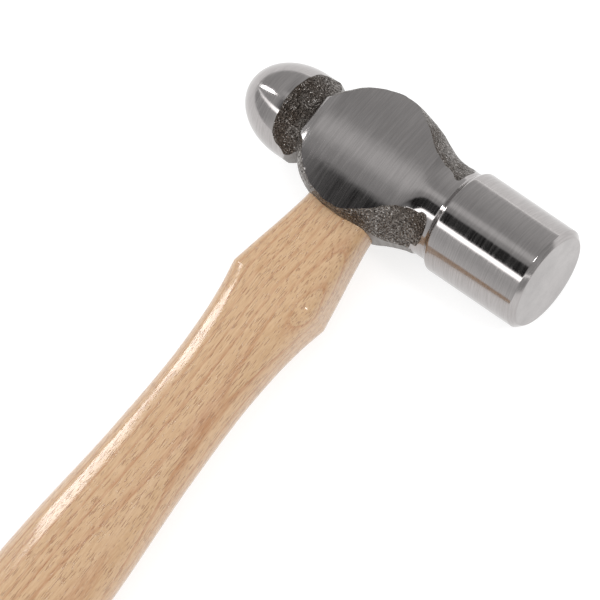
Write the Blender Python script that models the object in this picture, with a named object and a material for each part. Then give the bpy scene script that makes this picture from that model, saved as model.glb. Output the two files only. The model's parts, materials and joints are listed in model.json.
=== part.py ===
"""Ball peen hammer, 16 oz pattern: a forged steel head on a wooden handle.

The hammer lies on its side. +X points to the striking face, +Y from the butt of
the handle to the top of the head, and +Z up through one cheek of the head.

The head is made the way the real one is. A drop forging, with its parting line
in the XY plane, is cut back by the ground surfaces: the turned barrel, the
polished ball, the two crowned cheeks and the trimmed flash land. Where grinding
does not reach, the forged scoops stay. The handle's tenon passes through the eye
and is spread there by one wooden wedge and two steel wedges.

Everything is modelled on the hammer's own axes, with the head axis and the
handle axis crossing at the origin, and hangs from one empty. The empty tips the
hammer a little, so that both the barrel and the grip rest on the ground.
"""

import math

import bpy
import numpy as np
from mathutils import Matrix

MM = 0.001
GAP = 0.3                    # clearance between touching pieces, mm

# ---- driving dimensions, in millimetres -------------------------------------
FACE_RADIUS = 14.5           # barrel at the striking face
BARREL_SHOULDER_RADIUS = 14.7
FACE_X = 55.5                # striking face
FACE_BEVEL = 1.45            # depth and height of the bevel round the face
SHOULDER_X = 26.0            # where the barrel's side begins
SHOULDER_ROUND = 1.3         # soft corner of the shoulder
SHOULDER_FILLET = 0.9        # and the fillet at its foot
WAIST_X = 21.5               # lowest point between cheek and barrel
WAIST_RADIUS = 13.1

BALL_RADIUS = 12.5
BALL_TIP_X = -43.5
BALL_WIDEST_X = -27.0        # the egg shaped tip ends here
BALL_RIM_X = -21.2           # the polished flank ends here at the latest

CHEEK_HALF_THICKNESS = 14.3
CHEEK_CROWN_RADIUS = 60.0    # across the cheek
CHEEK_DOME_RADIUS = 240.0    # along it, on the ball side
CHEEK_EDGE_ROLL = 3.3        # the cheek rolls off over this length, ball side
CHEEK_EDGE_DROP = 1.2
CHEEK_BALL_SIDE_X = -18.8

HEAD_HALF_HEIGHT = 18.0      # trimmed land round the mouths of the eye

HANDLE_TOP_Y = 15.4
SHOULDER_Y = -42.5           # crisp shoulder of the handle
BUTT_Y = -322.0

# Half height of the head along its axis, on the parting line: (x, above the axis,
# below it). The side the handle comes out of is a little fuller.
OUTLINE = (
    (-46.0, 12.5, 12.5), (-23.4, 12.5, 12.5), (-21.4, 11.4, 11.4), (-19.9, 9.5, 9.8),
    (-18.6, 9.1, 10.1), (-17.4, 10.2, 11.5), (-15.7, 11.8, 13.2), (-13.3, 13.7, 14.9),
    (-10.2, 15.5, 16.4), (-6.0, 16.6, 17.3), (-2.0, 17.4, 17.9), (2.0, 17.5, 18.0),
    (6.0, 16.9, 17.6), (10.0, 15.8, 16.8), (13.0, 14.5, 15.9), (17.0, 13.1, 14.6),
    (20.0, 12.8, 13.7), (22.0, 13.2, 13.5), (24.0, 13.9, 14.0), (25.6, 14.9, 14.9),
    (58.0, 15.3, 15.3),
)

# Section of the forging along its axis: (x, half thickness before grinding above
# the axis and below it, how square the section is, flash left beyond the outline).
FORGING = (
    (-46.0, 13.1, 13.1, 2.0, 0.6),
    (-28.6, 13.0, 13.0, 2.0, 0.6),
    (-27.4, 12.4, 12.4, 2.0, 0.6),
    (-25.0, 10.2, 10.2, 2.1, 0.6),
    (-22.2, 8.8, 8.8, 2.2, 0.5),
    (-20.6, 9.2, 9.2, 2.2, 0.5),
    (-19.4, 12.0, 12.0, 2.4, 0.4),
    (-18.8, 13.4, 13.4, 2.6, 0.4),
    (-16.5, 14.3, 14.3, 3.0, 0.3),
    (-11.0, 15.4, 15.0, 4.0, 0.1),
    (-6.0, 18.6, 17.6, 4.0, 0.05),
    (-2.0, 20.5, 18.6, 4.0, 0.05),
    (2.0, 19.4, 17.7, 4.0, 0.05),
    (6.0, 18.6, 17.4, 3.0, 0.1),
    (10.0, 19.6, 17.9, 2.2, 0.3),
    (13.0, 20.8, 18.0, 1.7, 0.4),
    (15.5, 20.4, 17.3, 1.55, 0.4),
    (18.5, 17.6, 15.2, 1.5, 0.4),
    (21.5, 15.2, 14.4, 1.5, 0.35),
    (24.0, 14.4, 14.4, 1.55, 0.25),
    (25.2, 14.7, 14.7, 1.75, 0.3),
    (26.0, 15.2, 15.2, 2.0, 0.5),
    (58.0, 15.8, 15.8, 2.0, 0.5),
)

# Sections of the handle: (y, half width along X, half thickness along Z, how
# square the section is). The tenon is waisted in the eye and spread at its top.
HANDLE = (
    (HANDLE_TOP_Y, 10.0, 7.3, 2.6),
    (0.0, 9.6, 6.8, 2.6),
    (-17.0, 10.1, 7.4, 3.2),
    (-25.0, 11.1, 7.9, 3.6),
    (-35.0, 12.8, 8.8, 4.0),
    (SHOULDER_Y, 14.0, 9.6, 4.2),
    (-50.0, 12.9, 9.5, 3.2),
    (-60.0, 12.1, 9.4, 2.6),
    (-72.0, 11.8, 9.4, 2.3),
    (-95.0, 12.6, 10.0, 2.2),
    (-130.0, 15.2, 11.4, 2.2),
    (-170.0, 16.6, 12.4, 2.2),
    (-220.0, 16.8, 12.7, 2.2),
    (-275.0, 16.2, 12.0, 2.2),
    (-312.0, 15.6, 11.0, 2.2),
)
BUTT_ROUND = 4.0             # rounding of the butt's rim

WOOD_WEDGE_TOP = 3.2         # thickness at the top of the tenon
WOOD_WEDGE_TIP = 0.9
WOOD_WEDGE_DEPTH = 23.0
WOOD_WEDGE_HALF_LENGTH = 9.2
STEEL_WEDGE_TOP = 2.4
STEEL_WEDGE_TIP = 0.7
STEEL_WEDGE_DEPTH = 13.0
STEEL_WEDGE_HALF_WIDTH = 4.6
STEEL_WEDGE_X = 4.9          # one on each side of the handle's axis
STEEL_WEDGE_TEETH = 4

# ---- resolution -------------------------------------------------------------
HEAD_SEGMENTS = 44
HANDLE_SEGMENTS = 32


# ---- curves and sections ----------------------------------------------------
def through(points, column, x):
    """A smooth curve through a table's points that never overshoots them."""
    table = np.array(sorted(points), dtype=float)
    knots, values = table[:, 0], table[:, column]
    steps = np.diff(knots)
    slopes = np.diff(values) / steps
    tangents = np.zeros(len(knots))
    tangents[0], tangents[-1] = slopes[0], slopes[-1]
    for i in range(1, len(knots) - 1):
        if slopes[i - 1] * slopes[i] > 0:
            before, after = steps[i - 1], steps[i]
            weight_a = 2 * after + before
            weight_b = after + 2 * before
            tangents[i] = (weight_a + weight_b) / (weight_a / slopes[i - 1] + weight_b / slopes[i])
    x = np.clip(x, knots[0], knots[-1])
    i = np.clip(np.searchsorted(knots, x) - 1, 0, len(steps) - 1)
    t = (x - knots[i]) / steps[i]
    return (values[i] * (1 + 2 * t) * (1 - t) ** 2
            + values[i + 1] * t ** 2 * (3 - 2 * t)
            + steps[i] * (tangents[i] * t * (1 - t) ** 2 - tangents[i + 1] * t ** 2 * (1 - t)))


def smooth_step(low, high, x):
    t = np.clip((x - low) / (high - low), 0.0, 1.0)
    return t * t * (3 - 2 * t)


def superellipse_radius(half_y, half_z, power, angle):
    """Radius of a rounded section at an angle from +Z towards the handle, -Y."""
    term_y = (np.abs(np.sin(angle)) / half_y) ** power
    term_z = (np.abs(np.cos(angle)) / half_z) ** power
    return (term_y + term_z) ** (-1.0 / power)


def outline_height(x, angle):
    """Half height of the trimmed outline. Angles below 180 degrees face the handle."""
    return np.where(np.sin(angle) > 0, through(OUTLINE, 2, x), through(OUTLINE, 1, x))


def forging_radius(x, angle):
    below = smooth_step(-0.75, 0.75, np.sin(angle))
    half_z = through(FORGING, 1, x) * (1 - below) + through(FORGING, 2, x) * below
    half_y = outline_height(x, angle) + through(FORGING, 4, x)
    power = through(FORGING, 3, x)
    return superellipse_radius(half_y, half_z, power, angle)


def barrel_radius(x):
    """Turned profile from the waist to the face, without the bevel."""
    along = np.clip((x - SHOULDER_X) / (FACE_X - SHOULDER_X), 0.0, 1.0)
    side = BARREL_SHOULDER_RADIUS + (FACE_RADIUS - BARREL_SHOULDER_RADIUS) * along
    rise = smooth_step(SHOULDER_X - SHOULDER_FILLET, SHOULDER_X + SHOULDER_ROUND, x)
    return WAIST_RADIUS + (side - WAIST_RADIUS) * rise


def cheek_height(x):
    """Half thickness of the ground cheek along the middle of the head."""
    roll = np.clip((CHEEK_BALL_SIDE_X + CHEEK_EDGE_ROLL - x) / CHEEK_EDGE_ROLL, 0.0, 1.6)
    dip = smooth_step(8.0, WAIST_X, x)
    level = CHEEK_HALF_THICKNESS + (WAIST_RADIUS - CHEEK_HALF_THICKNESS) * dip
    dome = np.minimum(x, 0.0) ** 2 / (2 * CHEEK_DOME_RADIUS)
    return level - dome - CHEEK_EDGE_DROP * roll ** 2


def ground_radius(x, angle):
    """Radius of the ground surfaces: the smallest cut at each place."""
    sine = np.maximum(np.abs(np.sin(angle)), 1e-6)
    cosine = np.abs(np.cos(angle))
    height = cheek_height(x)
    crown = 2 * height / (cosine + np.sqrt(cosine ** 2 + 2 * sine ** 2 * height / CHEEK_CROWN_RADIUS))
    turned = smooth_step(15.0, WAIST_X, x)
    middle = crown * (1 - turned) + barrel_radius(x) * turned
    past_tip = np.clip((BALL_WIDEST_X - x) / (BALL_WIDEST_X - BALL_TIP_X), 0.0, 1.0)
    ball = BALL_RADIUS * np.sqrt(1 - past_tip ** 2)
    radius = np.where(x < BALL_RIM_X, ball, middle)
    land = outline_height(x, angle) / sine
    return np.where(x < SHOULDER_X - SHOULDER_FILLET, np.minimum(radius, land), radius)


def head_stations():
    """Places along the head axis, closer together where the shape turns fast."""
    tip = BALL_TIP_X - BALL_WIDEST_X
    egg = [BALL_WIDEST_X + tip * math.cos(math.radians(a)) for a in range(10, 90, 10)]
    neck = list(np.arange(BALL_WIDEST_X, CHEEK_BALL_SIDE_X - 0.1, 0.8))
    edge = list(np.arange(CHEEK_BALL_SIDE_X, -12.0, 1.2))
    cheek = list(np.arange(-12.0, 14.0, 2.0))
    waist = list(np.arange(14.0, SHOULDER_X - SHOULDER_FILLET, 1.1))
    shoulder = list(np.linspace(SHOULDER_X - SHOULDER_FILLET + 0.2, SHOULDER_X + SHOULDER_ROUND, 5))
    barrel = [35.0, 45.0, FACE_X - FACE_BEVEL]
    return egg + neck + edge + cheek + waist + shoulder + barrel


# ---- mesh building ----------------------------------------------------------
def lofted_mesh(name, rings, caps=True):
    """Close a stack of rings, each a list of points, into one skin."""
    count = len(rings[0])
    points = [tuple(c * MM for c in point) for ring in rings for point in ring]
    faces = []
    for k in range(len(rings) - 1):
        for i in range(count):
            j = (i + 1) % count
            faces.append((k * count + i, k * count + j, (k + 1) * count + j, (k + 1) * count + i))
    if caps:
        faces.append(tuple(reversed(range(count))))
        faces.append(tuple((len(rings) - 1) * count + i for i in range(count)))
    mesh = bpy.data.meshes.new(name)
    mesh.from_pydata(points, [], faces)
    mesh.validate()
    mesh.update()
    return mesh


def add_object(name, mesh, material=None):
    piece = bpy.data.objects.new(name, mesh)
    bpy.context.collection.objects.link(piece)
    if material is not None:
        mesh.materials.append(material)
    return piece


def turned_rings(stations, radius_at, segments):
    """Rings round the head axis. Seen from +X they run anticlockwise."""
    angles = np.arange(segments) * 2 * math.pi / segments
    rings = []
    for x in stations:
        radii = radius_at(np.full(segments, x), angles)
        rings.append([(x, -r * math.sin(a), r * math.cos(a)) for r, a in zip(radii, angles)])
    return rings


def cut(piece, cutter, operation="DIFFERENCE"):
    modifier = piece.modifiers.new(cutter.name, "BOOLEAN")
    modifier.operation = operation
    modifier.object = cutter
    modifier.solver = "EXACT"
    cutter.hide_render = True
    cutter.display_type = "WIRE"


def shade(piece, angle):
    piece.data.shade_smooth()
    piece.data.set_sharp_from_angle(angle=math.radians(angle))


def principled(name, colour, roughness, metallic):
    material = bpy.data.materials.new(name)
    material.use_nodes = True
    shader = material.node_tree.nodes["Principled BSDF"]
    shader.inputs["Base Color"].default_value = (*colour, 1.0)
    shader.inputs["Roughness"].default_value = roughness
    shader.inputs["Metallic"].default_value = metallic
    return material


# ---- the pieces -------------------------------------------------------------
def make_head(material):
    """Ground skin cut down to the forging, with the eye through it."""
    stations = head_stations()
    rings = turned_rings(stations, ground_radius, HEAD_SEGMENTS)
    flat = FACE_RADIUS - FACE_BEVEL
    angles = np.arange(HEAD_SEGMENTS) * 2 * math.pi / HEAD_SEGMENTS
    rings.append([(FACE_X, -flat * math.sin(a), flat * math.cos(a)) for a in angles])
    head = add_object("head", lofted_mesh("head", rings), material)

    ends = [BALL_TIP_X - 2.0] + stations[:-1] + [FACE_X + 2.0]
    forging = add_object("forging", lofted_mesh("forging", turned_rings(ends, forging_radius, HEAD_SEGMENTS)))
    cut(head, forging, "INTERSECT")

    eye = add_object("eye", lofted_mesh("eye", handle_rings(eye_stations(), GAP)))
    cut(head, eye)
    shade(head, 28)
    return head, [forging, eye]


def handle_section(y, grow=0.0):
    """Half width, half thickness and squareness. Neck and grip meet in a crisp edge."""
    rows = [row for row in HANDLE if (row[0] >= SHOULDER_Y if y >= SHOULDER_Y else row[0] <= SHOULDER_Y)]
    half_x, half_z, power = (float(through(rows, k, np.array([y]))[0]) for k in (1, 2, 3))
    return half_x + grow, half_z + grow, power


def section_ring(y, half_x, half_z, power):
    """One section of the handle. Points crowd towards the corners."""
    ring = []
    for i in range(HANDLE_SEGMENTS):
        angle = 2 * math.pi * i / HANDLE_SEGMENTS
        c, s = math.cos(angle), math.sin(angle)
        x = half_x * math.copysign(abs(c) ** (2 / power), c)
        z = half_z * math.copysign(abs(s) ** (2 / power), s)
        ring.append((x, y, z))
    return ring


def handle_rings(stations, grow=0.0):
    """Rings from the head end down to the butt."""
    return [section_ring(y, *handle_section(y, grow)) for y in stations]


def eye_stations():
    below = -HEAD_HALF_HEIGHT - 4.0
    return [HANDLE_TOP_Y + 4.0, HANDLE_TOP_Y, 9.0, 0.0, -9.0, -17.0, below]


def handle_stations():
    tenon = [HANDLE_TOP_Y, 9.0, 0.0, -9.0, -17.0]
    neck = [-25.0, -30.0, -35.0, SHOULDER_Y + 3.5, SHOULDER_Y]
    waist = [-46.0, -50.0, -55.0, -60.0, -66.0, -72.0, -83.0]
    grip = list(np.arange(-95.0, -300.0, -17.5))
    return tenon + neck + waist + grip + [BUTT_Y + BUTT_ROUND]


def make_handle(material):
    rings = handle_rings(handle_stations())
    half_x, half_z, power = handle_section(BUTT_Y + BUTT_ROUND)
    for degrees in (30, 60, 90):
        inset = BUTT_ROUND * (1 - math.cos(math.radians(degrees)))
        y = BUTT_Y + BUTT_ROUND - BUTT_ROUND * math.sin(math.radians(degrees))
        rings.append(section_ring(y, half_x - inset, half_z - inset, power))
    handle = add_object("handle", lofted_mesh("handle", rings), material)
    shade(handle, 30)
    return handle


def tapered_slab(name, top, tip, depth, half_length, along, grow=0.0, teeth=0):
    """A wedge standing in the top of the tenon, thin end down.

    Its length runs along X or along Z. Teeth are small steps down its faces.
    """
    top_y = HANDLE_TOP_Y + (3.0 if grow else 0.0)
    low_y = HANDLE_TOP_Y - depth - grow
    slope = (top - tip) / depth / 2
    side = []
    if teeth:
        pitch = depth / teeth
        for k in range(teeth):
            upper = HANDLE_TOP_Y - k * pitch
            side.append((upper, top / 2 - slope * k * pitch))
            side.append((upper - pitch, top / 2 - slope * k * pitch - slope * pitch - 0.15))
    else:
        side.append((top_y, top / 2 + slope * (top_y - HANDLE_TOP_Y) + grow))
        side.append((low_y, tip / 2 + grow))
    profile = side + [(y, -t) for y, t in reversed(side)]
    ends = (-half_length - grow, half_length + grow)
    rings = []
    for end in ends:
        if along == "X":
            rings.append([(end, y, t) for y, t in profile])
        else:
            rings.append([(t, y, -end) for y, t in profile])
    return lofted_mesh(name, rings)


def make_wedges(wood, steel):
    wooden = add_object("wooden_wedge", tapered_slab(
        "wooden_wedge", WOOD_WEDGE_TOP, WOOD_WEDGE_TIP, WOOD_WEDGE_DEPTH, WOOD_WEDGE_HALF_LENGTH, "X"), wood)
    kerf = add_object("kerf", tapered_slab(
        "kerf", WOOD_WEDGE_TOP, WOOD_WEDGE_TIP, WOOD_WEDGE_DEPTH, WOOD_WEDGE_HALF_LENGTH + 4.0, "X", GAP))
    steel_wedges = []
    slots = []
    for side, x in (("front", STEEL_WEDGE_X), ("rear", -STEEL_WEDGE_X)):
        name = "steel_wedge_" + side
        wedge = add_object(name, tapered_slab(
            name, STEEL_WEDGE_TOP, STEEL_WEDGE_TIP, STEEL_WEDGE_DEPTH, STEEL_WEDGE_HALF_WIDTH, "Z",
            teeth=STEEL_WEDGE_TEETH), steel)
        wedge.location.x = x * MM
        slot = add_object("slot_" + side, tapered_slab(
            "slot_" + side, STEEL_WEDGE_TOP, STEEL_WEDGE_TIP, STEEL_WEDGE_DEPTH, STEEL_WEDGE_HALF_WIDTH, "Z", GAP))
        slot.location.x = x * MM
        steel_wedges.append(wedge)
        slots.append(slot)
    return wooden, kerf, steel_wedges, slots


def rest_on_ground(pieces):
    """Tip the hammer onto its barrel and the belly of its grip, and centre it."""
    tip = min(math.atan2(BARREL_SHOULDER_RADIUS - half_z, -y)
              for y, _, half_z, _ in HANDLE if y < SHOULDER_Y)
    pose = bpy.data.objects.new("hammer_axes", None)
    bpy.context.collection.objects.link(pose)
    for piece in pieces:
        piece.parent = pose
    pose.rotation_euler.x = tip
    bpy.context.view_layer.update()
    graph = bpy.context.evaluated_depsgraph_get()
    corners = []
    for piece in pieces:
        if piece.hide_render:
            continue
        evaluated = piece.evaluated_get(graph)
        points = np.empty(len(evaluated.data.vertices) * 3)
        evaluated.data.vertices.foreach_get("co", points)
        turn = np.array(Matrix.Rotation(tip, 3, "X"))
        points = (points.reshape(-1, 3) + np.array(piece.location)) @ turn.T
        corners += [points.min(axis=0), points.max(axis=0)]
    low, high = np.min(corners, axis=0), np.max(corners, axis=0)
    pose.location = (-(low[0] + high[0]) / 2, -(low[1] + high[1]) / 2, -low[2])
    bpy.context.view_layer.update()
    return pose


def main():
    for thing in list(bpy.data.objects):
        bpy.data.objects.remove(thing, do_unlink=True)

    steel = principled("ground forged steel", (0.42, 0.41, 0.40), 0.28, 1.0)
    handle_wood = principled("lacquered pale wood", (0.71, 0.49, 0.28), 0.25, 0.0)
    wedge_wood = principled("wedge hardwood", (0.50, 0.31, 0.15), 0.45, 0.0)
    wedge_steel = principled("wedge steel", (0.30, 0.30, 0.30), 0.45, 1.0)

    head, head_cutters = make_head(steel)
    handle = make_handle(handle_wood)
    wooden, kerf, steel_wedges, slots = make_wedges(wedge_wood, wedge_steel)
    cut(handle, kerf)
    for slot in slots:
        cut(handle, slot)
        cut(wooden, slot)
    rest_on_ground([head, handle, wooden, *steel_wedges, *head_cutters, kerf, *slots])


main()
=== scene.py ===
"""Looks of the ball peen hammer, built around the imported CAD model.

The head is rebuilt the way the part itself is made, only finer: a drop forging
is intersected with the ground surfaces, so every ground edge is a real edge of
the mesh. Handle and wedges follow, then materials, light and camera.

All lengths are millimetres on the hammer's own axes (head axis X, handle axis Y,
cheek normal Z, crossing at the origin) until an object gets its place in the
frame from the striking face's mount.
"""

import json
import math

import bpy
import numpy as np
from mathutils import Matrix, Vector, noise


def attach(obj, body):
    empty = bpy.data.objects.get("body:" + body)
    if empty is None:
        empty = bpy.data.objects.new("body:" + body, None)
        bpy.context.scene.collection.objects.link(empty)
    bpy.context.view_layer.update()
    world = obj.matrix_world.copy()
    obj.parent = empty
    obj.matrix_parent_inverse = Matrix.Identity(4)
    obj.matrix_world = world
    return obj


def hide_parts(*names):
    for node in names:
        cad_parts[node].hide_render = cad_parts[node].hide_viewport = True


MM = 0.001
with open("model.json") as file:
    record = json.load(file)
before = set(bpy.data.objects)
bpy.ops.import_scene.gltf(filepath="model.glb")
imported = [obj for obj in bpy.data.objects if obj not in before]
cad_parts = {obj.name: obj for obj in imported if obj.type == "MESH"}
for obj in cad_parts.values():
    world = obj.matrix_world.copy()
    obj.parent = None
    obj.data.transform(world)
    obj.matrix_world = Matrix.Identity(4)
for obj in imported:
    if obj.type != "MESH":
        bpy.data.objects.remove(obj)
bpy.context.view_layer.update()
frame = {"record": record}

# ---- driving dimensions, the same as the CAD model's, in millimetres ---------
FACE_RADIUS = 14.5
BARREL_SHOULDER_RADIUS = 14.7
FACE_X = 55.5
FACE_BEVEL = 1.45
SHOULDER_X = 26.0
SHOULDER_ROUND = 1.3
SHOULDER_FILLET = 0.9
WAIST_X = 21.5
WAIST_RADIUS = 13.1
BALL_RADIUS = 12.5
BALL_TIP_X = -43.5
BALL_WIDEST_X = -27.0
BALL_RIM_X = -21.2
CHEEK_HALF_THICKNESS = 14.3
CHEEK_CROWN_RADIUS = 60.0
CHEEK_DOME_RADIUS = 240.0
CHEEK_EDGE_ROLL = 3.3
CHEEK_EDGE_DROP = 1.2
CHEEK_BALL_SIDE_X = -18.8
CHEEK_DIP_X = 8.0            # from here the cheek falls to the waist
TURNED_FROM_X = 15.0         # from here it goes over into the turned waist
HALVES_BLEND = 0.75          # sine of the angle over which top and handle side blend
HANDLE_TOP_Y = 15.4
SHOULDER_Y = -42.5
BUTT_Y = -322.0
BUTT_ROUND = 4.0

# Each wedge: thickness at the top and at the tip, depth, half length.
WOOD_WEDGE = (3.2, 0.9, 23.0, 9.2)
STEEL_WEDGE = (2.4, 0.7, 13.0, 4.6)
STEEL_WEDGE_X = 4.9          # one on each side of the handle's axis
STEEL_WEDGE_TEETH = 4
TOOTH_STEP = 0.15

# Half height of the head: (x, on the top side, on the handle side).
OUTLINE = (
    (-46.0, 12.5, 12.5), (-23.4, 12.5, 12.5), (-21.4, 11.4, 11.4), (-19.9, 9.5, 9.8),
    (-18.6, 9.1, 10.1), (-17.4, 10.2, 11.5), (-15.7, 11.8, 13.2), (-13.3, 13.7, 14.9),
    (-10.2, 15.5, 16.4), (-6.0, 16.6, 17.3), (-2.0, 17.4, 17.9), (2.0, 17.5, 18.0),
    (6.0, 16.9, 17.6), (10.0, 15.8, 16.8), (13.0, 14.5, 15.9), (17.0, 13.1, 14.6),
    (20.0, 12.8, 13.7), (22.0, 13.2, 13.5), (24.0, 13.9, 14.0), (25.6, 14.9, 14.9),
    (58.0, 15.3, 15.3),
)
# The forging before grinding: (x, half thickness on the top side, on the handle side,
# how square the section is, flash beyond the outline).
FORGING = (
    (-46.0, 13.1, 13.1, 2.0, 0.6), (-28.6, 13.0, 13.0, 2.0, 0.6), (-27.4, 12.4, 12.4, 2.0, 0.6),
    (-25.0, 10.2, 10.2, 2.1, 0.6), (-22.2, 8.8, 8.8, 2.2, 0.5), (-20.6, 9.2, 9.2, 2.2, 0.5),
    (-19.4, 12.0, 12.0, 2.4, 0.4), (-18.8, 13.4, 13.4, 2.6, 0.4), (-16.5, 14.3, 14.3, 3.0, 0.3),
    (-11.0, 15.4, 15.0, 4.0, 0.1), (-6.0, 18.6, 17.6, 4.0, 0.05), (-2.0, 20.5, 18.6, 4.0, 0.05),
    (2.0, 19.4, 17.7, 4.0, 0.05), (6.0, 18.6, 17.4, 3.0, 0.1), (10.0, 19.6, 17.9, 2.2, 0.3),
    (13.0, 20.8, 18.0, 1.7, 0.4), (15.5, 20.4, 17.3, 1.55, 0.4), (18.5, 17.6, 15.2, 1.5, 0.4),
    (21.5, 15.2, 14.4, 1.5, 0.35), (24.0, 14.4, 14.4, 1.55, 0.25), (25.2, 14.7, 14.7, 1.75, 0.3),
    (26.0, 15.2, 15.2, 2.0, 0.5), (58.0, 15.8, 15.8, 2.0, 0.5),
)
# The handle: (y, half width, half thickness, how square the section is).
HANDLE = (
    (HANDLE_TOP_Y, 10.0, 7.3, 2.6), (0.0, 9.6, 6.8, 2.6), (-17.0, 10.1, 7.4, 3.2),
    (-25.0, 11.1, 7.9, 3.6), (-35.0, 12.8, 8.8, 4.0), (SHOULDER_Y, 14.0, 9.6, 4.2),
    (-50.0, 12.9, 9.5, 3.2), (-60.0, 12.1, 9.4, 2.6), (-72.0, 11.8, 9.4, 2.3),
    (-95.0, 12.6, 10.0, 2.2), (-130.0, 15.2, 11.4, 2.2), (-170.0, 16.6, 12.4, 2.2),
    (-220.0, 16.8, 12.7, 2.2), (-275.0, 16.2, 12.0, 2.2), (-312.0, 15.6, 11.0, 2.2),
)

# ---- resolution of the visible meshes ----------------------------------------
HEAD_SEGMENTS = 232
HEAD_STEP = 0.38
HANDLE_SEGMENTS = 120
HANDLE_STEP = 0.9
FACE_RINGS = (12.0, 10.0, 8.0, 6.0, 4.0, 2.0, 0.8)      # radii on the flat face
SHARP_HEAD = 32.0            # an edge that turns by more degrees than this stays crisp
SHARP_HANDLE = 35.0

# ---- details that only the visible model has, in millimetres -----------------
EYE_CLEARANCE = 0.08         # between the tenon and the eye
KERF_CLEARANCE = 0.06        # between a wedge and its slot
WEDGE_EDGE = 0.12            # broken edges of the wedges
FACE_ROUNDS = (0.55, 0.45)   # where the side meets the bevel, and the bevel the face
FORGED_LUMPS = ((3.1, 0.13), (1.3, 0.07))     # size and height of the skin's lumps
RING_SPACING = 2.1           # growth rings of the handle

# ---- how far helper meshes run past the solid they shape, in millimetres -----
FORGING_OVERHANG = 2.0
EYE_OVERHANG = 6.0
EYE_CUTTER_END_Y = -20.5     # just outside the head, on the handle side
SLOT_OVERHANG = 3.0
KERF_OVERHANG = 4.0
UNTRIMMED = 1000.0           # a radius that stands for: no land here

# ---- camera, on the hammer's axes: degrees and millimetres -------------------
CAMERA_AZIMUTH = 71.86
CAMERA_ELEVATION = 66.46
CAMERA_ROLL = -34.9
CAMERA_DISTANCE = 777.4
CAMERA_AIM = (2.73, -39.46, -6.48)
CAMERA_LENS = 180.0

# ---- light tent: brightness as polished steel sees it -------------------------
TENT_PLAIN = 1.0             # for the camera and for matt surfaces
TENT_BANDS = (               # degrees round the head axis, level
    (-90, 1.8), (-86, 0.8), (-80, 0.66), (-50, 0.56), (-30, 0.48), (-18, 0.50), (-11, 0.80),
    (-5, 0.80), (1, 0.50), (7, 0.42), (10.5, 0.02), (32, 0.02),
    (35, 3.6), (41, 3.6), (45, 0.75), (62, 0.7), (90, 0.9),
)
TENT_ENDS = (                # direction along the head axis, share of the level
    (-1.0, 0.55), (-0.75, 0.6), (-0.45, 1.0), (0.1, 1.0), (0.5, 0.8), (1.0, 0.55),
)
TENT_FILL = (                # the same, lowest level
    (-1.0, 0.5), (-0.6, 0.6), (-0.44, 0.1), (-0.38, 0.0), (0.2, 0.0), (0.4, 0.35), (1.0, 0.5),
)

# name, direction from the middle of the table, distance and size in metres, watts,
# whether polished surfaces show it
SOFTBOXES = (
    ("key_softbox", (-0.35, 0.25, 0.9), 1.4, (1.7, 1.7), 6.0, False),
    ("grip_strip", (-0.888, 0.124, 0.44), 1.0, (0.08, 0.5), 1.3, True),
    ("neck_strip", (0.585, 0.317, 0.743), 1.0, (0.16, 0.2), 1.8, True),
)
TABLE_HALF = 3.0             # metres
TABLE_GREY = 0.36
TABLE_GLOW = 0.72            # keeps the table pale under the hammer


# ---- curves and sections -----------------------------------------------------
def through(points, column, x):
    """A smooth curve through a table's points that never overshoots them."""
    table = np.array(sorted(points), dtype=float)
    knots, values = table[:, 0], table[:, column]
    steps = np.diff(knots)
    slopes = np.diff(values) / steps
    tangents = np.zeros(len(knots))
    tangents[0], tangents[-1] = slopes[0], slopes[-1]
    for i in range(1, len(knots) - 1):
        if slopes[i - 1] * slopes[i] > 0:
            before, after = steps[i - 1], steps[i]
            weight_a = 2 * after + before
            weight_b = after + 2 * before
            tangents[i] = (weight_a + weight_b) / (weight_a / slopes[i - 1] + weight_b / slopes[i])
    x = np.clip(x, knots[0], knots[-1])
    i = np.clip(np.searchsorted(knots, x) - 1, 0, len(steps) - 1)
    t = (x - knots[i]) / steps[i]
    return (values[i] * (1 + 2 * t) * (1 - t) ** 2
            + values[i + 1] * t ** 2 * (3 - 2 * t)
            + steps[i] * (tangents[i] * t * (1 - t) ** 2 - tangents[i + 1] * t ** 2 * (1 - t)))


def smooth_step(low, high, x):
    t = np.clip((x - low) / (high - low), 0.0, 1.0)
    return t * t * (3 - 2 * t)


def outline_height(x, angle):
    return np.where(np.sin(angle) > 0, through(OUTLINE, 2, x), through(OUTLINE, 1, x))


def forging_radius(x, angle):
    below = smooth_step(-HALVES_BLEND, HALVES_BLEND, np.sin(angle))
    half_z = through(FORGING, 1, x) * (1 - below) + through(FORGING, 2, x) * below
    half_y = outline_height(x, angle) + through(FORGING, 4, x)
    power = through(FORGING, 3, x)
    term_y = (np.abs(np.sin(angle)) / half_y) ** power
    term_z = (np.abs(np.cos(angle)) / half_z) ** power
    return (term_y + term_z) ** (-1.0 / power)


def barrel_radius(x):
    along = np.clip((x - SHOULDER_X) / (FACE_X - SHOULDER_X), 0.0, 1.0)
    side = BARREL_SHOULDER_RADIUS + (FACE_RADIUS - BARREL_SHOULDER_RADIUS) * along
    rise = smooth_step(SHOULDER_X - SHOULDER_FILLET, SHOULDER_X + SHOULDER_ROUND, x)
    return WAIST_RADIUS + (side - WAIST_RADIUS) * rise


def cheek_height(x):
    roll = np.clip((CHEEK_BALL_SIDE_X + CHEEK_EDGE_ROLL - x) / CHEEK_EDGE_ROLL, 0.0, 1.6)
    dip = smooth_step(CHEEK_DIP_X, WAIST_X, x)
    level = CHEEK_HALF_THICKNESS + (WAIST_RADIUS - CHEEK_HALF_THICKNESS) * dip
    dome = np.minimum(x, 0.0) ** 2 / (2 * CHEEK_DOME_RADIUS)
    return level - dome - CHEEK_EDGE_DROP * roll ** 2


def land_radius(x, angle):
    sine = np.maximum(np.abs(np.sin(angle)), 1e-6)
    return np.where(x < SHOULDER_X - SHOULDER_FILLET, outline_height(x, angle) / sine, UNTRIMMED)


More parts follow.
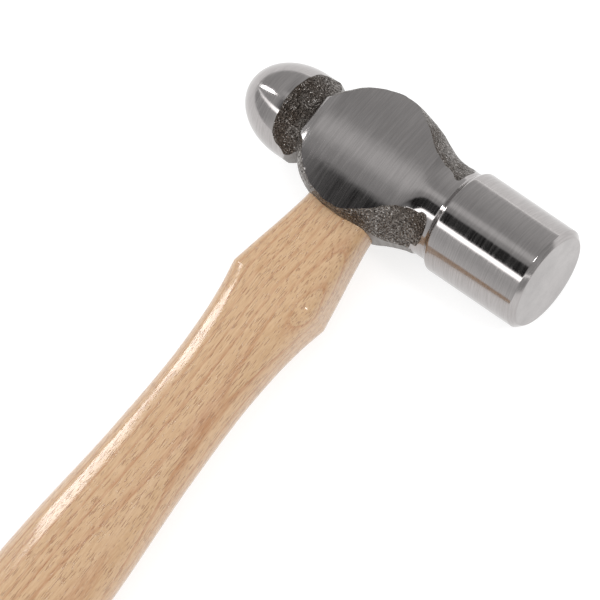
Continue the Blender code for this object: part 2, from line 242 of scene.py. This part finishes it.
def ground_radius(x, angle):
    """Radius of the ground surfaces, without the trimmed land."""
    sine = np.abs(np.sin(angle))
    cosine = np.abs(np.cos(angle))
    height = cheek_height(x)
    crown = 2 * height / (cosine + np.sqrt(cosine ** 2 + 2 * sine ** 2 * height / CHEEK_CROWN_RADIUS))
    turned = smooth_step(TURNED_FROM_X, WAIST_X, x)
    middle = crown * (1 - turned) + barrel_radius(x) * turned
    past_tip = np.clip((BALL_WIDEST_X - x) / (BALL_WIDEST_X - BALL_TIP_X), 0.0, 1.0)
    ball = BALL_RADIUS * np.sqrt(1 - past_tip ** 2)
    return np.where(x < BALL_RIM_X, ball, middle)


def handle_section(y, grow=0.0):
    """Half width, half thickness and squareness. Neck and grip meet in a crisp edge."""
    rows = [row for row in HANDLE if (row[0] >= SHOULDER_Y if y >= SHOULDER_Y else row[0] <= SHOULDER_Y)]
    half_x, half_z, power = (float(through(rows, k, np.array([y]))[0]) for k in (1, 2, 3))
    return half_x + grow, half_z + grow, power


# ---- mesh building -----------------------------------------------------------
def lofted_mesh(name, rings, materials=(), zones=None):
    """Close a stack of rings into one skin. zones gives each face its material."""
    count = len(rings[0])
    points = np.concatenate([np.asarray(ring, dtype=float) for ring in rings]) * MM
    faces = []
    for k in range(len(rings) - 1):
        for i in range(count):
            j = (i + 1) % count
            faces.append((k * count + i, k * count + j, (k + 1) * count + j, (k + 1) * count + i))
    faces.append(tuple(reversed(range(count))))
    faces.append(tuple((len(rings) - 1) * count + i for i in range(count)))
    mesh = bpy.data.meshes.new(name)
    mesh.from_pydata(points.tolist(), [], faces)
    for material in materials:
        mesh.materials.append(material)
    if zones is not None:
        mesh.polygons.foreach_set("material_index", zones)
    mesh.update()
    return mesh


def add_object(name, mesh):
    piece = bpy.data.objects.new(name, mesh)
    bpy.context.collection.objects.link(piece)
    return piece


def baked(piece, name):
    """The piece's mesh with its modifiers applied, as a new object."""
    graph = bpy.context.evaluated_depsgraph_get()
    mesh = bpy.data.meshes.new_from_object(piece.evaluated_get(graph))
    mesh.name = name
    return add_object(name, mesh)


def carved(name, base, cutters):
    """Base, cut by (object, operation) pairs. The helpers are removed again."""
    for cutter, operation in cutters:
        modifier = base.modifiers.new(cutter.name, "BOOLEAN")
        modifier.operation = operation
        modifier.object = cutter
        modifier.solver = "MANIFOLD"
    result = baked(base, name)
    for thing in [base] + [cutter for cutter, _ in cutters]:
        bpy.data.objects.remove(thing, do_unlink=True)
    return result


def circle_points(x, radius, angles):
    """Points round the head axis, by angle from +Z towards the handle."""
    return np.stack([np.full(len(angles), x), -radius * np.sin(angles), radius * np.cos(angles)], axis=1)


def turned_rings(stations, radius_at, segments):
    angles = np.arange(segments) * 2 * math.pi / segments
    rings = []
    for x in stations:
        radii = radius_at(np.full(segments, x), angles)
        rings.append(circle_points(x, radii, angles))
    return rings


def arc_steps(low, high, step):
    return list(np.linspace(low, high, max(2, round((high - low) / step) + 1)))


def ground_stations():
    """Where the ground skin has its rings: closest where it curves most."""
    reach = BALL_TIP_X - BALL_WIDEST_X
    egg = [BALL_WIDEST_X + reach * math.cos(math.radians(a)) for a in np.arange(1.0, 90.0, 1.25)]
    rest = arc_steps(BALL_WIDEST_X, SHOULDER_X - SHOULDER_FILLET - 0.1, HEAD_STEP)
    shoulder = arc_steps(SHOULDER_X - SHOULDER_FILLET, SHOULDER_X + SHOULDER_ROUND, 0.15)
    barrel = arc_steps(SHOULDER_X + SHOULDER_ROUND + 0.4, FACE_X - FACE_BEVEL - 0.8, 0.7)
    return egg + rest + shoulder + barrel


def face_profile():
    """Barrel side, bevel and flat face, with small rounds between them."""
    profile = []
    corners = ((FACE_X - FACE_BEVEL, FACE_RADIUS, 0.0, 45.0, FACE_ROUNDS[0]),
               (FACE_X, FACE_RADIUS - FACE_BEVEL, 45.0, 90.0, FACE_ROUNDS[1]))
    for corner_x, corner_r, start, end, round_radius in corners:
        back = round_radius * math.tan(math.radians((end - start) / 2))
        first = math.radians(start)
        centre_x = corner_x - back * math.cos(first) - round_radius * math.sin(first)
        centre_r = corner_r + back * math.sin(first) - round_radius * math.cos(first)
        for angle in np.radians(np.linspace(start, end, 9)):
            x = centre_x + round_radius * math.sin(angle)
            profile.append((x, centre_r + round_radius * math.cos(angle)))
    for radius in FACE_RINGS:
        profile.append((FACE_X, radius))
    return profile


def forged_roughness(x, y, z):
    """Unevenness of a shot-blasted forging skin, in millimetres."""
    place = Vector((x, y, z))
    (wide, wide_height), (narrow, narrow_height) = FORGED_LUMPS
    elsewhere = Vector((7, 3, 1))
    return noise.noise(place / wide) * wide_height + noise.noise(place / narrow + elsewhere) * narrow_height


def make_head(materials):
    ground, forged, bore, land = range(4)
    angles = np.arange(HEAD_SEGMENTS) * 2 * math.pi / HEAD_SEGMENTS
    stations = ground_stations()

    def cut_radius(x, angle):
        return np.minimum(ground_radius(x, angle), land_radius(x, angle))

    rings = turned_rings(stations, cut_radius, HEAD_SEGMENTS)
    for x, r in face_profile():
        rings.append(circle_points(x, r, angles))
    zones = []
    for x in stations:
        wide = ground_radius(np.full(HEAD_SEGMENTS, x), angles)
        trimmed = land_radius(np.full(HEAD_SEGMENTS, x), angles) < wide
        zones += [land if t else ground for t in trimmed]
    zones += [ground] * (HEAD_SEGMENTS * (len(rings) - 1) + 2 - len(zones))
    skin = add_object("ground_skin", lofted_mesh("ground_skin", rings, materials, zones))

    fine_from = BALL_WIDEST_X - 2.6              # before this the ground ball hides it
    reach = [BALL_TIP_X - FORGING_OVERHANG] + arc_steps(BALL_TIP_X + 8.0, fine_from - 0.4, 1.0)
    reach += arc_steps(fine_from, SHOULDER_X + 1.5, HEAD_STEP) + [40.0, FACE_X + FORGING_OVERHANG]
    rings = turned_rings(reach, forging_radius, HEAD_SEGMENTS)
    for ring in rings:
        if fine_from - 2.4 < ring[0][0] < SHOULDER_X + 3.0:
            for point in ring:
                radius = math.hypot(point[1], point[2])
                point[1:] *= 1 + forged_roughness(*point) / radius
    zones = [forged] * (HEAD_SEGMENTS * (len(rings) - 1) + 2)
    forging = add_object("forging", lofted_mesh("forging", rings, materials, zones))

    eye_ys = [HANDLE_TOP_Y + EYE_OVERHANG] + arc_steps(EYE_CUTTER_END_Y, HANDLE_TOP_Y, 1.5)[::-1]
    rings = [section_ring(y, *handle_section(y, EYE_CLEARANCE)) for y in eye_ys]
    zones = [bore] * (HANDLE_SEGMENTS * (len(rings) - 1) + 2)
    eye = add_object("eye", lofted_mesh("eye", rings, materials, zones))
    head = carved("forged_head", skin, [(forging, "INTERSECT"), (eye, "DIFFERENCE")])
    head.data.shade_smooth()
    head.data.set_sharp_from_angle(angle=math.radians(SHARP_HEAD))
    return head


def section_ring(y, half_x, half_z, power):
    angle = np.arange(HANDLE_SEGMENTS) * 2 * math.pi / HANDLE_SEGMENTS
    c, s = np.cos(angle), np.sin(angle)
    x = half_x * np.sign(c) * np.abs(c) ** (2 / power)
    z = half_z * np.sign(s) * np.abs(s) ** (2 / power)
    return np.stack([x, np.full(HANDLE_SEGMENTS, y), z], axis=1)


def wedge_slab(name, size, along, materials=(), grow=0.0, teeth=0, past_end=0.0):
    """A wedge, thin end down, running along X or Z; or the cutter for its slot."""
    top, tip, depth, half_length = size
    slope = (top - tip) / depth / 2
    pitch = depth / max(teeth, 1)
    side = []
    for k in range(max(teeth, 1)):
        upper = HANDLE_TOP_Y - k * pitch
        step = TOOTH_STEP if teeth else 0.0
        side.append((upper, top / 2 - slope * k * pitch + grow))
        side.append((upper - pitch, top / 2 - slope * (k + 1) * pitch - step + grow))
    if grow:
        bottom = (HANDLE_TOP_Y - depth - grow, tip / 2 + grow)
        side = [(HANDLE_TOP_Y + SLOT_OVERHANG, top / 2 + grow), *side[:-1], bottom]
    profile = side + [(y, -t) for y, t in reversed(side)]
    reach = half_length + grow + past_end
    if along == "X":
        rings = [[(end, y, t) for y, t in profile] for end in (-reach, reach)]
    else:
        rings = [[(t, y, -end) for y, t in profile] for end in (-reach, reach)]
    return lofted_mesh(name, rings, materials)


def make_wedge(name, size, along, material, x=0.0, teeth=0):
    wedge = add_object(name, wedge_slab(name, size, along, [material], teeth=teeth))
    wedge.data.transform(Matrix.Translation((x * MM, 0.0, 0.0)))
    edge = wedge.modifiers.new("broken_edges", "BEVEL")
    edge.width = WEDGE_EDGE * MM
    edge.segments = 2
    result = baked(wedge, name + "_body")
    bpy.data.objects.remove(wedge, do_unlink=True)
    return result


def wedge_slots():
    """Cutters for the kerf and for the two steel wedges' slots."""
    kerf = wedge_slab("kerf", WOOD_WEDGE, "X", grow=KERF_CLEARANCE, past_end=KERF_OVERHANG)
    slots = [add_object("kerf", kerf)]
    for x in (STEEL_WEDGE_X, -STEEL_WEDGE_X):
        slot = add_object("slot", wedge_slab("slot", STEEL_WEDGE, "Z", grow=KERF_CLEARANCE))
        slot.data.transform(Matrix.Translation((x * MM, 0.0, 0.0)))
        slots.append(slot)
    return slots


def make_handle(material):
    tenon = arc_steps(-16.0, HANDLE_TOP_Y, 2.0)[::-1]
    neck = arc_steps(SHOULDER_Y, -16.5, HANDLE_STEP)[::-1]
    grip = arc_steps(BUTT_Y + BUTT_ROUND, SHOULDER_Y - 0.4, HANDLE_STEP)[::-1]
    rings = [section_ring(y, *handle_section(y)) for y in tenon + neck + grip]
    half_x, half_z, power = handle_section(BUTT_Y + BUTT_ROUND)
    for degrees in range(9, 91, 9):
        inset = BUTT_ROUND * (1 - math.cos(math.radians(degrees)))
        y = BUTT_Y + BUTT_ROUND - BUTT_ROUND * math.sin(math.radians(degrees))
        rings.append(section_ring(y, half_x - inset, half_z - inset, power))
    zones = [0] * (HANDLE_SEGMENTS * (len(rings) - 1) + 2)
    solid = add_object("handle_solid", lofted_mesh("handle_solid", rings, [material], zones))
    handle = carved("wooden_handle", solid, [(slot, "DIFFERENCE") for slot in wedge_slots()])
    handle.data.shade_smooth()
    handle.data.set_sharp_from_angle(angle=math.radians(SHARP_HANDLE))
    return handle


# ---- materials ---------------------------------------------------------------
class Shader:
    """Short calls for building one Principled material node by node."""

    def __init__(self, name, **uniform):
        self.material = bpy.data.materials.new(name)
        self.material.use_nodes = True
        self.tree = self.material.node_tree
        self.principled = self.tree.nodes["Principled BSDF"]
        for socket, value in uniform.items():
            self.principled.inputs[socket.replace("_", " ")].default_value = value
        self.place = self.node("ShaderNodeTexCoord").outputs["Object"]

    def node(self, kind, **settings):
        made = self.tree.nodes.new(kind)
        for key, value in settings.items():
            setattr(made, key, value)
        return made

    def wire(self, source, target):
        if isinstance(source, bpy.types.NodeSocket):
            self.tree.links.new(source, target)
        else:
            target.default_value = source

    def math(self, operation, a, b=0.0):
        made = self.node("ShaderNodeMath", operation=operation)
        for socket, value in zip(made.inputs, (a, b)):
            self.wire(value, socket)
        return made.outputs[0]

    def stretch(self, scale):
        """The place on the piece, stretched by a factor along each axis."""
        made = self.node("ShaderNodeMapping")
        self.wire(self.place, made.inputs["Vector"])
        made.inputs["Scale"].default_value = scale
        return made.outputs[0]

    def noise(self, vector, scale=1.0, detail=2.0, roughness=0.5):
        made = self.node("ShaderNodeTexNoise")
        self.wire(vector, made.inputs["Vector"])
        made.inputs["Scale"].default_value = scale
        made.inputs["Detail"].default_value = detail
        made.inputs["Roughness"].default_value = roughness
        return made.outputs["Fac"]

    def ramp(self, value, stops, interpolation="LINEAR"):
        made = self.node("ShaderNodeValToRGB")
        made.color_ramp.interpolation = interpolation
        elements = made.color_ramp.elements
        while len(elements) < len(stops):
            elements.new(0.5)
        for element, (position, colour) in zip(elements, stops):
            element.position = position
            if not isinstance(colour, tuple):
                colour = (colour,) * 3
            element.color = (*colour, 1.0)
        self.wire(value, made.inputs[0])
        return made.outputs[0]

    def span(self, value, low, high, to_low=0.0, to_high=1.0):
        made = self.node("ShaderNodeMapRange", clamp=True)
        for socket, number in zip(made.inputs, (value, low, high, to_low, to_high)):
            self.wire(number, socket)
        return made.outputs[0]

    def mix(self, factor, a, b):
        made = self.node("ShaderNodeMix", data_type="RGBA")
        for socket, value in ((made.inputs[0], factor), (made.inputs[6], a), (made.inputs[7], b)):
            if isinstance(value, tuple):
                value = (*value, 1.0)
            self.wire(value, socket)
        return made.outputs[2]

    def bump(self, height, distance, normal=None):
        made = self.node("ShaderNodeBump")
        self.wire(height, made.inputs["Height"])
        made.inputs["Distance"].default_value = distance
        made.inputs["Strength"].default_value = 1.0
        if normal is not None:
            self.wire(normal, made.inputs["Normal"])
        return made.outputs[0]

    def finish(self, **sockets):
        for socket, value in sockets.items():
            self.wire(value, self.principled.inputs[socket.replace("_", " ")])
        return self.material


def ground_steel(name, grey, roughness, lines, uneven):
    """Belt-ground and polished steel: fine strokes running round the head axis.

    lines and uneven are the depths of the strokes and of the wider waves, in metres.
    """
    s = Shader(name, Metallic=1.0, Anisotropic=0.8, Anisotropic_Rotation=0.25)
    strokes = s.noise(s.stretch((3000.0, 110.0, 110.0)), detail=4.0, roughness=0.7)
    long_strokes = s.noise(s.stretch((1100.0, 45.0, 45.0)), detail=3.0, roughness=0.65)
    patches = s.noise(s.stretch((90.0, 90.0, 90.0)), detail=3.0)
    shade = s.math("ADD", s.math("MULTIPLY", strokes, 0.8), s.math("MULTIPLY", patches, 0.2))
    colour = s.mix(s.span(shade, 0.38, 0.62), tuple(c * 0.86 for c in grey), tuple(c * 1.05 for c in grey))
    gloss = s.span(s.math("ADD", strokes, long_strokes), 0.75, 1.25, roughness * 0.7, roughness * 1.4)
    height = s.math("ADD", s.math("MULTIPLY", strokes, 0.7), long_strokes)
    normal = s.bump(height, lines)
    normal = s.bump(s.noise(s.stretch((160.0, 230.0, 230.0)), detail=2.0), uneven, normal=normal)
    tangent = s.node("ShaderNodeTangent", direction_type="RADIAL", axis="X")
    return s.finish(Base_Color=colour, Roughness=gloss, Normal=normal, Tangent=tangent.outputs[0])


def forged_steel():
    """Shot-blasted forging skin: dark and grainy, with glinting facets that are partly painted: the grain's
    peaks are smoother, and also pale in colour as a painted glint.
    """
    s = Shader("forged_skin", Metallic=1.0)
    grain = s.noise(s.place, scale=1900.0, detail=2.0, roughness=0.55)
    dimples = s.node("ShaderNodeTexVoronoi", feature="F1")
    s.wire(s.place, dimples.inputs["Vector"])
    dimples.inputs["Scale"].default_value = 1600.0
    dimple = dimples.outputs["Distance"]
    stain = s.noise(s.place, scale=140.0, detail=4.0)
    colour = s.mix(s.span(stain, 0.35, 0.65), (0.085, 0.067, 0.054), (0.24, 0.222, 0.208))
    colour = s.mix(s.span(grain, 0.36, 0.56), (0.045, 0.037, 0.032), colour)
    # painted glint: the grain's highest peaks turn pale grey in colour
    colour = s.mix(s.span(grain, 0.62, 0.70), colour, (0.45, 0.43, 0.415))
    height = s.math("ADD", grain, s.math("MULTIPLY", dimple, 0.7))
    return s.finish(Base_Color=colour, Roughness=s.span(grain, 0.35, 0.65, 0.46, 0.2),
                    Normal=s.bump(height, 0.00042))


def bore_steel():
    s = Shader("eye_bore", Metallic=1.0, Roughness=0.6)
    scale = s.noise(s.place, scale=600.0, detail=3.0)
    return s.finish(Base_Color=s.mix(scale, (0.05, 0.045, 0.04), (0.14, 0.13, 0.12)),
                    Normal=s.bump(scale, 0.0002))


def lacquered_wood():
    """Pale ring-porous wood under clear gloss lacquer, cut from flat rings."""
    s = Shader("lacquered_wood", Coat_Weight=1.0, Coat_Roughness=0.10, Coat_IOR=1.5)
    along = s.stretch((70.0, 9.0, 70.0))
    drift = s.math("SUBTRACT", s.noise(along, detail=2.0), 0.5)
    split = s.node("ShaderNodeSeparateXYZ")
    s.wire(s.place, split.inputs[0])
    x, y, z = split.outputs
    depth = s.math("ADD", s.math("MULTIPLY", x, 600.0), s.math("MULTIPLY", z, 800.0))
    depth = s.math("ADD", depth, s.math("MULTIPLY", y, 12.0))
    depth = s.math("ADD", s.math("DIVIDE", depth, RING_SPACING), s.math("MULTIPLY", drift, 1.8))
    ring = s.math("FRACT", depth)
    late = s.ramp(ring, ((0.0, 0.0), (0.6, 0.1), (0.86, 0.75), (0.93, 1.0), (1.0, 0.0)), "EASE")
    fibre = s.noise(s.stretch((2300.0, 190.0, 2300.0)), detail=3.0, roughness=0.65)
    broad = s.noise(s.stretch((60.0, 8.0, 60.0)), detail=2.0)
    pale = s.mix(broad, (0.42, 0.25, 0.12), (0.49, 0.31, 0.165))
    strength = s.span(s.noise(s.stretch((130.0, 14.0, 130.0)), detail=2.0), 0.35, 0.65, 0.55, 1.0)
    colour = s.mix(s.math("MULTIPLY", late, strength), pale, (0.35, 0.155, 0.06))
    colour = s.mix(s.span(fibre, 0.4, 0.64, 0.0, 0.42), colour, (0.60, 0.42, 0.255))
    cells = s.noise(s.stretch((4600.0, 340.0, 4600.0)), detail=0.0)
    porous = s.ramp(ring, ((0.0, 0.045), (0.35, 0.02), (0.9, 0.0), (1.0, 0.045)))
    pores = s.span(s.math("ADD", cells, porous), 0.66, 0.74)
    colour = s.mix(s.math("MULTIPLY", pores, 0.65), colour, (0.27, 0.12, 0.05))
    height = s.math("SUBTRACT", s.math("MULTIPLY", fibre, 0.25), pores)
    return s.finish(Base_Color=colour, Roughness=s.span(fibre, 0.3, 0.7, 0.42, 0.55),
                    Normal=s.bump(height, 0.00006), Coat_Normal=s.bump(height, 0.00005))


def wedge_wood():
    s = Shader("wedge_hardwood", Roughness=0.55)
    fibre = s.noise(s.stretch((220.0, 60.0, 2200.0)), detail=3.0)
    pores = s.span(s.noise(s.stretch((2500.0, 300.0, 2500.0)), detail=1.0), 0.62, 0.68)
    colour = s.mix(s.span(fibre, 0.35, 0.65), (0.27, 0.14, 0.06), (0.42, 0.25, 0.12))
    colour = s.mix(s.math("MULTIPLY", pores, 0.7), colour, (0.08, 0.035, 0.015))
    return s.finish(Base_Color=colour, Normal=s.bump(fibre, 0.00005))


def wedge_steel():
    s = Shader("wedge_steel", Metallic=1.0)
    grain = s.noise(s.place, scale=1300.0, detail=3.0)
    stain = s.noise(s.place, scale=260.0, detail=3.0)
    colour = s.mix(s.span(stain, 0.4, 0.62), (0.30, 0.29, 0.28), (0.19, 0.13, 0.09))
    return s.finish(Base_Color=colour, Roughness=s.span(grain, 0.3, 0.7, 0.3, 0.55),
                    Normal=s.bump(grain, 0.00012))


# ---- place, light and camera -------------------------------------------------
def hammer_place():
    """From the hammer's axes to the frame: tipped onto the barrel and the grip."""
    tip = min(math.atan2(BARREL_SHOULDER_RADIUS - half_z, -y)
              for y, _, half_z, _ in HANDLE if y < SHOULDER_Y)
    mount = frame["record"]["mounts"][0]["pos_m"]
    turn = Matrix.Rotation(tip, 4, "X")
    origin = Vector(mount) - turn @ Vector((FACE_X * MM, 0.0, 0.0))
    return Matrix.Translation(origin) @ turn


def add_camera(place):
    azimuth, elevation = math.radians(CAMERA_AZIMUTH), math.radians(CAMERA_ELEVATION)
    towards = Vector((math.sin(azimuth) * math.cos(elevation),
                      -math.cos(azimuth) * math.cos(elevation), math.sin(elevation)))
    level = towards.to_track_quat("Z", "Y").to_matrix().to_4x4()
    spot = Matrix.Translation((Vector(CAMERA_AIM) + towards * CAMERA_DISTANCE) * MM)
    camera = bpy.data.objects.new("camera", bpy.data.cameras.new("camera"))
    bpy.context.collection.objects.link(camera)
    camera.matrix_world = place @ spot @ level @ Matrix.Rotation(math.radians(CAMERA_ROLL), 4, "Z")
    camera.data.lens = CAMERA_LENS
    camera.data.clip_start = 0.05
    bpy.context.scene.camera = camera


def add_softbox(name, towards, distance, size, watts, seen_in_gloss):
    """An area light that looks back at the middle of the table."""
    light = bpy.data.lights.new(name, "AREA")
    light.shape = "RECTANGLE"
    light.size, light.size_y = size
    light.energy = watts
    lamp = bpy.data.objects.new(name, light)
    bpy.context.collection.objects.link(lamp)
    direction = Vector(towards).normalized()
    lamp.location = direction * distance
    lamp.rotation_euler = direction.to_track_quat("Z", "Y").to_euler()
    lamp.visible_glossy = seen_in_gloss


def light_tent():
    """A tent of light: plain for the camera and for matt surfaces, banded in gloss.

    The bands are what a polished barrel shows: white walls, a dark gap along one
    edge of the ceiling and a strip light beside it. Angles turn round the head
    axis, from straight up towards the handle.
    """
    world = bpy.data.worlds.new("light_tent")
    bpy.context.scene.world = world
    world.use_nodes = True
    tree = world.node_tree
    background = tree.nodes["Background"]

    def node(kind, *inputs, **settings):
        made = tree.nodes.new(kind)
        for key, value in settings.items():
            setattr(made, key, value)
        for socket, value in zip(made.inputs, inputs):
            if isinstance(value, bpy.types.NodeSocket):
                tree.links.new(value, socket)
            elif value is not None:
                socket.default_value = value
        return made

    def bands(value, low, high, stops):
        place = node("ShaderNodeMapRange", value, low, high)
        ramp = node("ShaderNodeValToRGB", place.outputs[0])
        elements = ramp.color_ramp.elements
        while len(elements) < len(stops):
            elements.new(0.5)
        for element, (at, level) in zip(elements, stops):
            element.position = (at - low) / (high - low)
            element.color = (level, level, level, 1.0)
        return ramp.outputs[0]

    direction = node("ShaderNodeTexCoord").outputs["Generated"]
    x, y, z = node("ShaderNodeSeparateXYZ", direction).outputs
    back = node("ShaderNodeMath", y, -1.0, operation="MULTIPLY")
    angle = node("ShaderNodeMath", back.outputs[0], z, operation="ARCTAN2").outputs[0]
    degrees = node("ShaderNodeMath", angle, operation="DEGREES").outputs[0]
    round_head = bands(degrees, -90.0, 90.0, TENT_BANDS)
    ends = bands(x, -1.0, 1.0, TENT_ENDS)
    shaded = node("ShaderNodeMix", 1.0, data_type="RGBA", blend_type="MULTIPLY")
    tree.links.new(round_head, shaded.inputs[6])
    tree.links.new(ends, shaded.inputs[7])
    gloss = node("ShaderNodeMix", 1.0, data_type="RGBA", blend_type="LIGHTEN")
    tree.links.new(shaded.outputs[2], gloss.inputs[6])
    tree.links.new(bands(x, -1.0, 1.0, TENT_FILL), gloss.inputs[7])
    rays = node("ShaderNodeLightPath")
    plain = node("ShaderNodeMix", rays.outputs["Is Glossy Ray"], data_type="RGBA")
    plain.inputs[6].default_value = (TENT_PLAIN, TENT_PLAIN, TENT_PLAIN, 1.0)
    tree.links.new(gloss.outputs[2], plain.inputs[7])
    tree.links.new(plain.outputs[2], background.inputs["Color"])


def studio():
    """A white table inside the tent, a large key light and two strip lights."""
    mesh = bpy.data.meshes.new("table")
    half = TABLE_HALF
    corners = [(-half, -half, 0), (half, -half, 0), (half, half, 0), (-half, half, 0)]
    mesh.from_pydata(corners, [], [(0, 1, 2, 3)])
    table = add_object("table", mesh)
    white = (1.0, 1.0, 1.0, 1.0)
    grey = (TABLE_GREY, TABLE_GREY, TABLE_GREY, 1.0)
    s = Shader("white_table", Roughness=1.0, Emission_Color=white, Emission_Strength=TABLE_GLOW)
    mesh.materials.append(s.finish(Base_Color=grey))
    light_tent()
    for softbox in SOFTBOXES:
        add_softbox(*softbox)
    bpy.context.scene.view_settings.view_transform = "Standard"


def main():
    place = hammer_place()
    add_camera(place)
    studio()

    ground = ground_steel("ground_steel", grey=(0.40, 0.38, 0.375), roughness=0.135,
                          lines=0.0000028, uneven=0.00002)
    land = ground_steel("trimmed_land", grey=(0.22, 0.205, 0.195), roughness=0.38,
                        lines=0.00002, uneven=0.0002)
    steel = wedge_steel()
    pieces = [
        (make_head([ground, forged_steel(), bore_steel(), land]), "head", "head_steel"),
        (make_handle(lacquered_wood()), "handle", "handle_wood"),
        (make_wedge("wood_wedge", WOOD_WEDGE, "X", wedge_wood()), "wooden_wedge", "wedge_wood"),
    ]
    for side, x in (("front", STEEL_WEDGE_X), ("rear", -STEEL_WEDGE_X)):
        wedge = make_wedge("steel_" + side, STEEL_WEDGE, "Z", steel, x, STEEL_WEDGE_TEETH)
        pieces.append((wedge, "steel_wedge_" + side, "wedge_steel"))
    for piece, node, slot in pieces:
        piece.matrix_world = place
        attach(piece, "root")
        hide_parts(node)


main()
